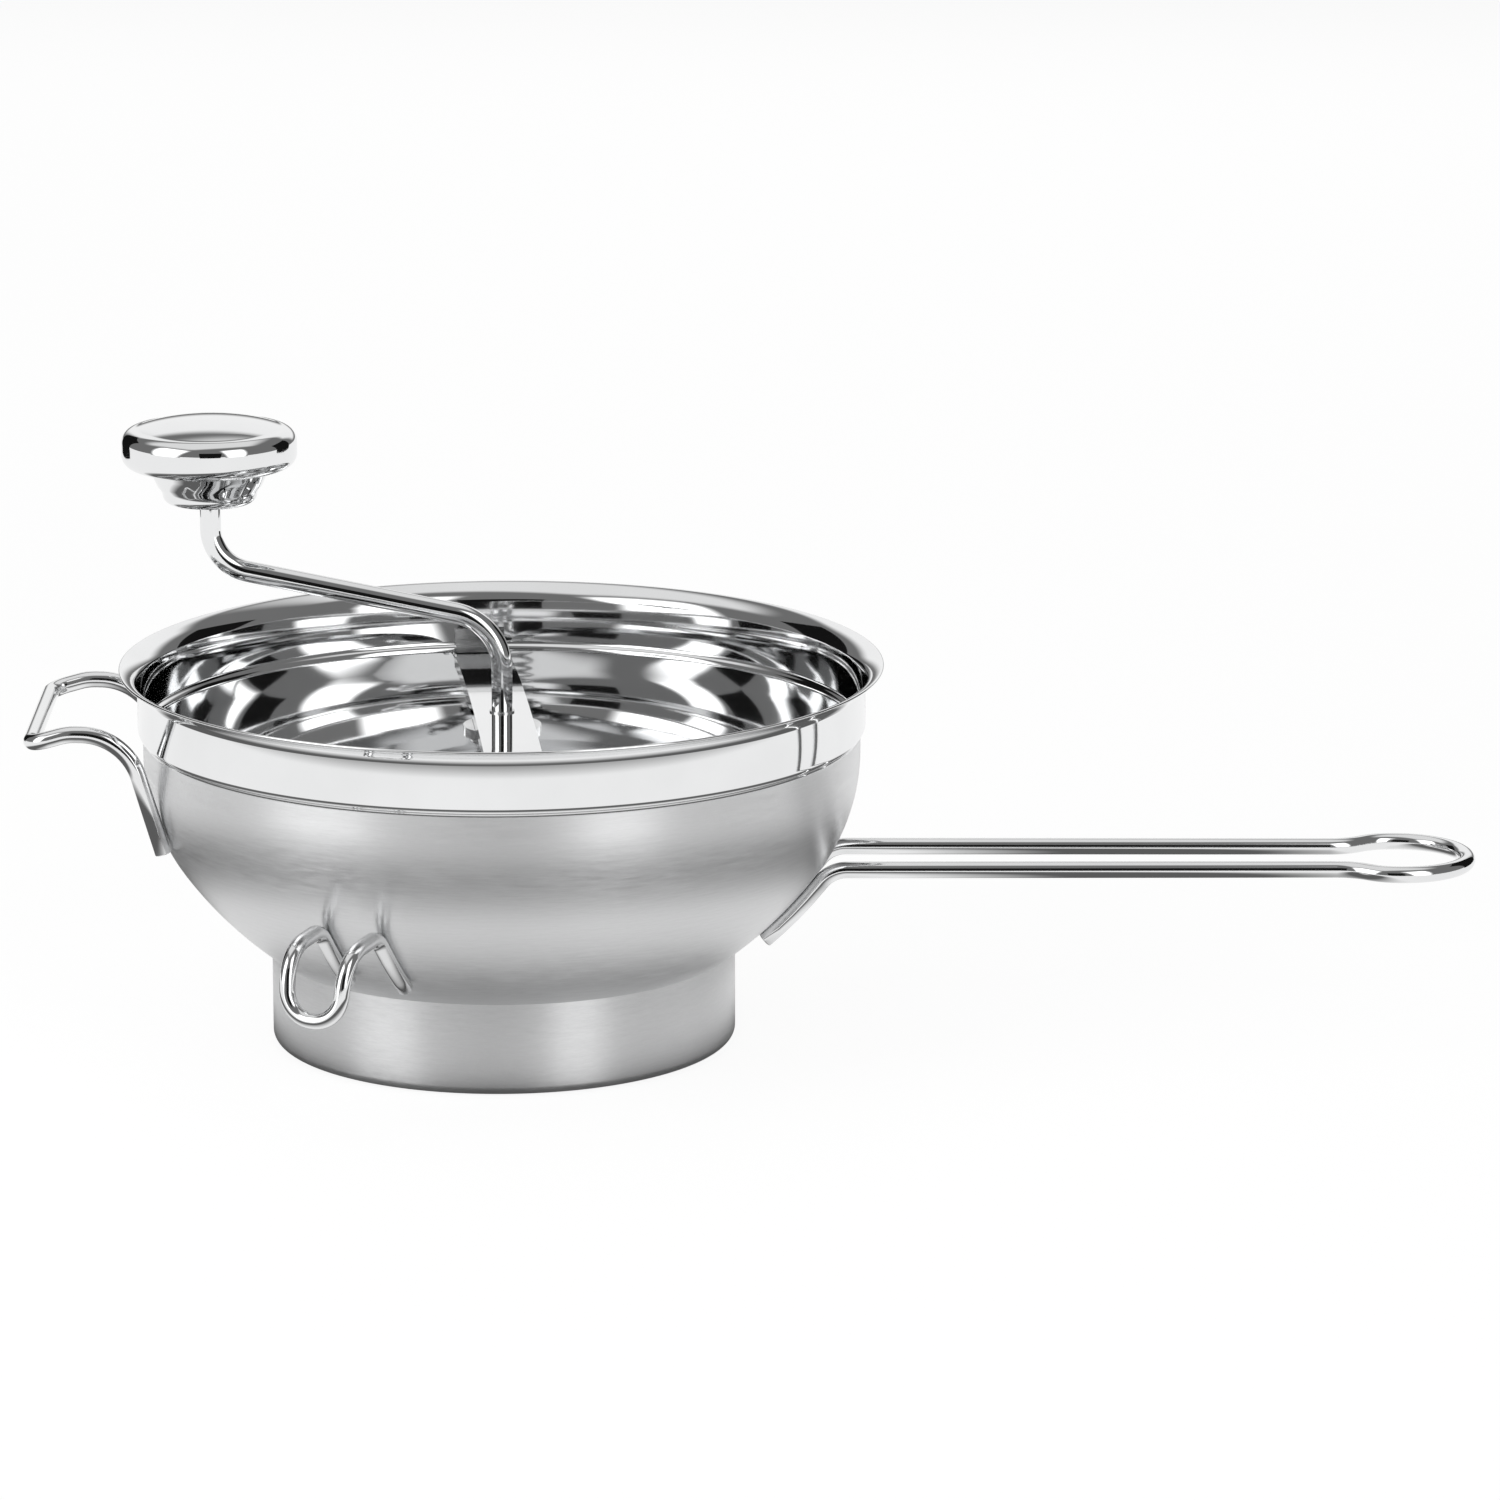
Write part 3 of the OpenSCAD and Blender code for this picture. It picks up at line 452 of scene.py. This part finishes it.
# How far below the widest part the wire touches the bowl, and ends.
TOUCH_DROP, SHORT_LOW, SHORT_ARCH = 18, 26, 19
lift = SIDE_R + WIRE_R + 0.05
lean = asin(TOUCH_DROP / lift)
touch_z = WIDEST_Z - lift * sin(lean)
touch_rho = SIDE_C + lift * cos(lean)
touch_x = sqrt(touch_rho**2 - SHORT_HALF**2)
slope = tan(lean) * touch_rho / touch_x
arch_z = WIDEST_Z + SHORT_RISE
low_x = touch_x + (WIDEST_Z - SHORT_LOW - touch_z) * slope
turn_x = touch_x + (arch_z - touch_z) * slope
bent_wire("short_handle_wire", [
    (-low_x, SHORT_HALF, WIDEST_Z - SHORT_LOW), (-turn_x, SHORT_HALF, arch_z),
    (-turn_x - SHORT_ARCH, SHORT_HALF, arch_z + 0.4), (-SHORT_REACH, SHORT_HALF, arch_z - 3)],
    [0, 20, 18, 6], WIRE_R, "short_handle")

HOOK_WIRE_R, HOOK_HALF, HOOK_OUT = 2.6, 10.4, 15.7
HOOK_REACH = BOWL_R + HOOK_OUT
# Heights above the seat: start on the bowl, leaving it, top and tip. Then where the hooks sit, in degrees.
HOOK_LOW, HOOK_LEAVE, HOOK_TOP, HOOK_TIP = 12, 25, 34, 11
FRONT_HOOK, REAR_HOOK = 245, 115
a0 = lay_angle(SEAT_Z + HOOK_LOW, HOOK_HALF, HOOK_WIRE_R)
a1 = lay_angle(SEAT_Z + HOOK_LEAVE, HOOK_HALF, HOOK_WIRE_R)
low, mid = lay_point(a0, HOOK_HALF, HOOK_WIRE_R), lay_corner(a0, a1, HOOK_HALF, HOOK_WIRE_R)
hook_top = SEAT_Z + HOOK_TOP
hook_half = [(low[0], -HOOK_HALF, low[1]), (mid[0], -HOOK_HALF, mid[1]),
             (leave_x(a1, HOOK_HALF, HOOK_WIRE_R, hook_top), -HOOK_HALF, hook_top),
             (HOOK_REACH - 3, -HOOK_HALF, hook_top - 2), (HOOK_REACH, -HOOK_HALF + 1, SEAT_Z + HOOK_TIP)]
hook_bends = [0, lay_r(HOOK_HALF, HOOK_WIRE_R), 8.5, 13, HOOK_HALF - 1]
bent_wire("pot_hook_front_wire", hook_half, hook_bends, HOOK_WIRE_R, "pot_hook_front", FRONT_HOOK)
bent_wire("pot_hook_rear_wire", hook_half, hook_bends, HOOK_WIRE_R, "pot_hook_rear", REAR_HOOK)

# ---- Crank rod, from the shaft's foot to the spindle under the knob ----
ROD_R, REACH = 3.5, 96.0
rod_low, rod_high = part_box("crank_rod")
# Heights of the bar over the step, of the arm over the bar, and of the arm's climb to the knob.
BAR_GAP, BAR_H, ARM_RISE, ARM_CLIMB = 0.4, 6.3, 30.4, 19.7
BAR_TOP = STEP_Z + BAR_GAP + BAR_H
ARM_Z, ARM_END_Z = BAR_TOP + ARM_RISE, BAR_TOP + ARM_RISE + ARM_CLIMB
rod_line = centre_line([(0, 0, rod_low.z / MM), (0, 0, ARM_Z), (-REACH, 0, ARM_END_Z),
                        (-REACH, 0, rod_high.z / MM)], [0, 19, 15, 0], 2.5)
tube("crank_rod_wire", "crank", rod_line, ROD_R, POLISHED, "crank_rod", 40)

# ---- Knob ----
KNOB_R, KNOB_H, DOME, EDGE, KNOB_T = 29.0, 13.0, 3.6, 4.6, 1.0
CUP_H, CUP_TOP, CUP_END = 12.0, 20.0, 15.6
# The innermost ring of the dome, and its rings out to the rounded edge.
DOME_HOLE, DOME_STEPS = 0.6, 24
CUP_RISE = 21
cup_bottom = ARM_END_Z + CUP_RISE
knob_bottom = cup_bottom + CUP_H
dome_edge = KNOB_R - EDGE * 0.6
dome_r = (dome_edge**2 + DOME**2) / (2 * DOME)


def knob_top_z(r, inset):
    return KNOB_H + DOME - inset - dome_r + sqrt(dome_r**2 - r * r)


def knob_face(inset):
    """The knob's section from the middle of its top, over the side, to the flat underneath."""
    e = EDGE - inset
    c_top, c_low = (KNOB_R - EDGE, KNOB_H - EDGE), (KNOB_R - EDGE, EDGE)
    over = []
    for r, z in arc(c_top, e, 90, 0, 5):
        over.append((r, min(z, knob_top_z(r, inset)) if r < dome_r else z))
    radii = (DOME_HOLE + (KNOB_R - EDGE - DOME_HOLE) * k / DOME_STEPS for k in range(DOME_STEPS))
    dome = [(r, knob_top_z(r, inset)) for r in radii]
    dome = [(r, min(z, KNOB_H - inset) if r > KNOB_R - EDGE + 0.01 else z) for r, z in dome]
    return dome + over + arc(c_low, e, 0, -90, 5)


outside, inside = knob_face(0), knob_face(KNOB_T)


def blend_edge(line, inset):
    """Runs the dome smoothly into the rounded edge."""
    z_edge = KNOB_H - inset
    start = knob_top_z(0, inset)
    out = []
    for i, (r, z) in enumerate(line):
        if i < DOME_STEPS:
            k = r / (KNOB_R - EDGE)
            z = start + (z_edge - start) * (0.9 * k**2 + 0.1 * k**6)
        out.append((r, z))
    return out


outside, inside = blend_edge(outside, 0), blend_edge(inside, KNOB_T)
hole = CUP_TOP - KNOB_T
knob_outline = (outside + [(hole + 0.3, 0), (hole, 0.3), (hole, KNOB_T - 0.2), (hole + 0.2, KNOB_T)]
                + list(reversed(inside)))


def knob_mesh():
    """The turned knob, closed on its axis above and below the metal by one point each."""
    segments, at = KNOB_SEGMENTS, (-REACH, 0, knob_bottom)
    line = knob_outline
    n = len(line)
    verts = [(at[0], at[1], at[2] + knob_top_z(0, 0)), (at[0], at[1], at[2] + knob_top_z(0, KNOB_T))]
    faces = []
    for s in range(segments):
        a = 2 * pi * s / segments
        verts += [(at[0] + r * cos(a), at[1] + r * sin(a), at[2] + z) for r, z in line]
    for s in range(segments):
        t = (s + 1) % segments
        bs, bt = 2 + s * n, 2 + t * n
        for i in range(n - 1):
            faces.append((bs + i, bt + i, bt + i + 1, bs + i + 1))
        faces.append((0, bt, bs))
        faces.append((1, bs + n - 1, bt + n - 1))
    return piece("knob_shell_cap", "knob", verts, faces, [KNOB], None, ("knob_shell",))


knob_mesh()

cup_wall = [(CUP_TOP, CUP_H), (CUP_TOP - 1.1, CUP_H * 0.78), (CUP_TOP - 2.6, CUP_H * 0.5),
            (CUP_END + 0.5, 4.4)]
cup_corner = arc((CUP_END - 3, 3), 3, 0, -90, 7)
spindle_hole = ROD_R + 3
cup_outline = (cup_wall + cup_corner
               + [(spindle_hole + 0.2, 0), (spindle_hole, 0.2), (spindle_hole, KNOB_T)]
               + list(reversed(arc((CUP_END - 3, 3), 3 - KNOB_T, 0, -90, 9)))
               + [(CUP_END + 0.5 - KNOB_T, 4.4), (CUP_TOP - 2.6 - KNOB_T, CUP_H * 0.5),
                  (CUP_TOP - 1.1 - KNOB_T, CUP_H * 0.78), (CUP_TOP - KNOB_T, CUP_H)])
lathe("knob_cup_shell", "knob", cup_outline, [KNOB], "knob_cup", (-REACH, 0, cup_bottom), CUP_SEGMENTS)

# ---- Spring: coil between the washer and the cup, as tall as the spring's CAD box ----
SPRING_R, SPRING_WIRE_R, TURNS, COIL_STEPS = 9.5, 1.0, 7, 48
s_low, s_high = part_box("spring")
z0, z1 = s_low.z / MM + SPRING_WIRE_R, s_high.z / MM - SPRING_WIRE_R
coil = [Vector((SPRING_R * cos(2 * pi * i / COIL_STEPS), SPRING_R * sin(2 * pi * i / COIL_STEPS),
                z0 + (z1 - z0) * i / (COIL_STEPS * TURNS))) for i in range(COIL_STEPS * TURNS + 1)]
spring = tube("spring_coil", "crank", coil, SPRING_WIRE_R, SPRING, "spring", 16, 0.2)
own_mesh(spring)

# ---- Blade: a plate that climbs round the shaft, with broken edges ----
BLADE_T, BLADE_RISE, SWEEP, FLAT = 1.5, 30.0, 205.0, 20.0
UNDER_HUB_R, WALL_GAP, EDGE_SLOPE = 8.9, 4, 0.45
BLADE_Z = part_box("blade")[0].z / MM
HUB_Z, HUB_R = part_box("blade_hub")[0].z / MM, 8.5


def bowl_in(z):
    """The bowl's inner radius at a height."""
    if z >= WIDEST_Z:
        return BOWL_R - T
    if z > WIDEST_Z - SIDE_R * sin(radians(JOIN)):
        return SIDE_C + sqrt((SIDE_R - T)**2 - (z - WIDEST_Z)**2)
    return sqrt((CROWN_R - T)**2 - (z - CROWN_Z)**2)


def blade_height(a):
    return BLADE_Z + BLADE_RISE * max(0, a - FLAT) / (SWEEP - FLAT)


blade_verts, blade_faces = [], []
STEPS, BREAK = 160, 0.3
for i in range(STEPS + 1):
    a = SWEEP * i / STEPS
    z = blade_height(a)
    root = UNDER_HUB_R if z < HUB_Z else HUB_R - 0.3
    edge = min(bowl_in(z) - WALL_GAP, SEAT_R - WALL_GAP + EDGE_SLOPE * (z - BLADE_Z))
    d = Vector((cos(radians(a)), -sin(radians(a)), 0))
    middle = (root + edge) / 2
    for r, h in ((root, BREAK), (root, BLADE_T - BREAK), (root + BREAK, BLADE_T), (middle, BLADE_T),
                 (edge - BREAK, BLADE_T), (edge, BLADE_T - BREAK), (edge, BREAK), (edge - BREAK, 0),
                 (middle, 0), (root + BREAK, 0)):
        blade_verts.append(d * r + Vector((0, 0, z + h)))
for i in range(STEPS):
    for k in range(10):
        m = (k + 1) % 10
        blade_faces.append((i * 10 + k, i * 10 + m, i * 10 + 10 + m, i * 10 + 10 + k))
blade_faces += [tuple(range(10)), tuple(STEPS * 10 + k for k in reversed(range(10)))]
piece("blade_plate", "crank", blade_verts, blade_faces, [POLISHED], None, ("blade",))

# ---- CAD nodes that stay, with their finishes ----
FINISH = {"polished_steel": POLISHED, "satin_steel": SATIN, "plain_steel": PLAIN, "spring_steel": SPRING}
TURNED_NODES = ("sieve_disc", "disc_eyelet", "scraper_hub", "spring_washer", "spring_cup", "bar_bush")
for name, obj in frame["nodes"].items():
    if obj.hide_render:
        continue
    chosen = FINISH[SLOT_OF[name]]
    if name in TURNED_NODES:
        chosen = TURNED
    obj.data.materials.clear()
    obj.data.materials.append(chosen)


# ---- Studio: floor, flags and light ----
ROOM_LIGHT = 0.17
# Painted shade and light on the floor, seen only in the steel's reflections, by distance from the shaft in
# metres: dark rings are painted shadow, bright rings painted light.
FLOOR_PAINTED_RINGS = ((0.0, 0.08), (0.082, 0.10), (0.105, 0.80), (0.135, 0.95), (0.165, 0.50), (0.19, 0.12),
              (0.26, 0.12), (0.31, 0.95), (1.0, 0.95))
FLOOR_GREY, FLOOR_GLOW, FLOOR_GLOW_SHARE = 0.80, 1.13, 0.80
FLOOR_SIZE, FLOOR_DROP = 14, 0.0004


def softbox(name, strength, size, fade=0.45):
    """A light panel that fades out towards its edges, so that mirrors show no hard outline."""
    m = bpy.data.materials.new(name)
    m.use_nodes = True
    t = m.node_tree
    t.nodes.clear()
    split = t.nodes.new("ShaderNodeSeparateXYZ")
    t.links.new(t.nodes.new("ShaderNodeTexCoord").outputs["Object"], split.inputs[0])
    parts = []
    for axis in range(2):
        half = size[axis] / 2
        away = t.nodes.new("ShaderNodeMath")
        away.operation = "ABSOLUTE"
        t.links.new(split.outputs[axis], away.inputs[0])
        ramp = t.nodes.new("ShaderNodeMapRange")
        ramp.interpolation_type = "SMOOTHSTEP"
        for socket, number in (("From Min", half * (1 - fade)), ("From Max", half),
                               ("To Min", 1.0), ("To Max", 0.0)):
            ramp.inputs[socket].default_value = number
        t.links.new(away.outputs[0], ramp.inputs["Value"])
        parts.append(ramp.outputs["Result"])
    both = t.nodes.new("ShaderNodeMath")
    both.operation = "MULTIPLY"
    t.links.new(parts[0], both.inputs[0])
    t.links.new(parts[1], both.inputs[1])
    level = t.nodes.new("ShaderNodeMath")
    level.operation = "MULTIPLY_ADD"
    t.links.new(both.outputs[0], level.inputs[0])
    level.inputs[1].default_value = strength - ROOM_LIGHT
    level.inputs[2].default_value = ROOM_LIGHT
    glow, out = t.nodes.new("ShaderNodeEmission"), t.nodes.new("ShaderNodeOutputMaterial")
    t.links.new(level.outputs[0], glow.inputs["Strength"])
    t.links.new(glow.outputs[0], out.inputs["Surface"])
    return m


def matte(name, tone):
    m = bpy.data.materials.new(name)
    m.use_nodes = True
    shader = m.node_tree.nodes["Principled BSDF"]
    shader.inputs["Base Color"].default_value = (tone, tone, tone, 1)
    shader.inputs["Roughness"].default_value = 0.9
    shader.inputs["Specular IOR Level"].default_value = 0.0
    return m


def card(name, centre, size, facing, material, seen=False):
    """A flat rectangle that faces a point. It isn't part of the object."""
    w, h = size[0] / 2, size[1] / 2
    mesh = bpy.data.meshes.new(name)
    mesh.from_pydata([(-w, -h, 0), (w, -h, 0), (w, h, 0), (-w, h, 0)], [], [(0, 1, 2, 3)])
    mesh.materials.append(material)
    obj = bpy.data.objects.new(name, mesh)
    obj.location = centre
    obj.rotation_euler = (Vector(facing) - Vector(centre)).to_track_quat("Z", "Y").to_euler()
    obj.visible_camera = seen
    COLLECTION.objects.link(obj)
    return obj


def floor_with_painted_rings():
    """Pale floor with a soft shadow where it is seen, and painted rings of shade and light where the steel
    reflects it.
    """
    m = bpy.data.materials.new("floor_pale_painted_rings")
    m.use_nodes = True
    t = m.node_tree
    t.nodes.clear()
    new = t.nodes.new
    matt, glow, shown = new("ShaderNodeBsdfDiffuse"), new("ShaderNodeEmission"), new("ShaderNodeMixShader")
    matt.inputs["Color"].default_value = (FLOOR_GREY, FLOOR_GREY, FLOOR_GREY, 1)
    glow.inputs["Strength"].default_value = FLOOR_GLOW
    shown.inputs[0].default_value = FLOOR_GLOW_SHARE
    t.links.new(matt.outputs[0], shown.inputs[1])
    t.links.new(glow.outputs[0], shown.inputs[2])
    # Painted shade and light: rings by distance from the shaft that glow for every ray but the camera's, so
    # only the steel's reflections show them.
    coords, length, ramp = new("ShaderNodeTexCoord"), new("ShaderNodeVectorMath"), new("ShaderNodeValToRGB")
    length.operation = "LENGTH"
    t.links.new(coords.outputs["Object"], length.inputs[0])
    t.links.new(length.outputs["Value"], ramp.inputs["Fac"])
    stops = ramp.color_ramp.elements
    while len(stops) < len(FLOOR_PAINTED_RINGS):
        stops.new(0.5)
    for stop, (radius, tone) in zip(stops, FLOOR_PAINTED_RINGS):
        stop.position = radius
        stop.color = (tone, tone, tone, 1)
    painted_reflection = new("ShaderNodeEmission")
    t.links.new(ramp.outputs["Color"], painted_reflection.inputs["Color"])
    path, mix, out = new("ShaderNodeLightPath"), new("ShaderNodeMixShader"), new("ShaderNodeOutputMaterial")
    t.links.new(path.outputs["Is Camera Ray"], mix.inputs[0])
    t.links.new(painted_reflection.outputs[0], mix.inputs[1])
    t.links.new(shown.outputs[0], mix.inputs[2])
    t.links.new(mix.outputs[0], out.inputs["Surface"])
    return m


BLACK = matte("flag_black", 0.01)
card("floor", (0, 0, -FLOOR_DROP), (FLOOR_SIZE, FLOOR_SIZE), (0, 0, 5), floor_with_painted_rings(), True)

# The room is white where it is seen directly, and dim where the steel reflects it.
ROOM_SEEN = 1.0
world = bpy.data.worlds.new("studio")
bpy.context.scene.world = world
world.use_nodes = True
room = world.node_tree
seen = room.nodes.new("ShaderNodeBackground")
seen.inputs["Strength"].default_value = ROOM_SEEN
seen.inputs["Color"].default_value = (1, 1, 1, 1)
lit = room.nodes["Background"]
lit.inputs["Color"].default_value = (1, 1, 1, 1)
lit.inputs["Strength"].default_value = ROOM_LIGHT
path = room.nodes.new("ShaderNodeLightPath")
mix = room.nodes.new("ShaderNodeMixShader")
room.links.new(path.outputs["Is Camera Ray"], mix.inputs[0])
room.links.new(lit.outputs[0], mix.inputs[1])
room.links.new(seen.outputs[0], mix.inputs[2])
room.links.new(mix.outputs[0], room.nodes["World Output"].inputs["Surface"])

TARGET = (0, 0, 0.09)
SOFTBOXES = (
    ("softbox_left", (-1.34, -0.87, 0.80), (1.45, 2.3), 2.1),
    ("softbox_right", (0.98, -1.26, 0.80), (1.05, 2.3), 2.0),
    ("softbox_top", (-0.2, 0.35, 1.9), (3.0, 2.6), 0.80),
    ("softbox_back", (0.2, 2.2, 1.0), (3.0, 1.6), 0.95))
for name, centre, size, strength in SOFTBOXES:
    card(name, centre, size, TARGET, softbox(name, strength, size))
FLAGS = (
    ("flag_left", (-0.69, 0.65, 0.30), (0.52, 0.80)),
    ("flag_right", (0.84, 0.46, 0.30), (0.56, 0.80)),
    ("flag_camera", (0.06, -1.55, 0.52), (0.80, 1.05)))
for name, centre, size in FLAGS:
    card(name, centre, size, TARGET, BLACK)
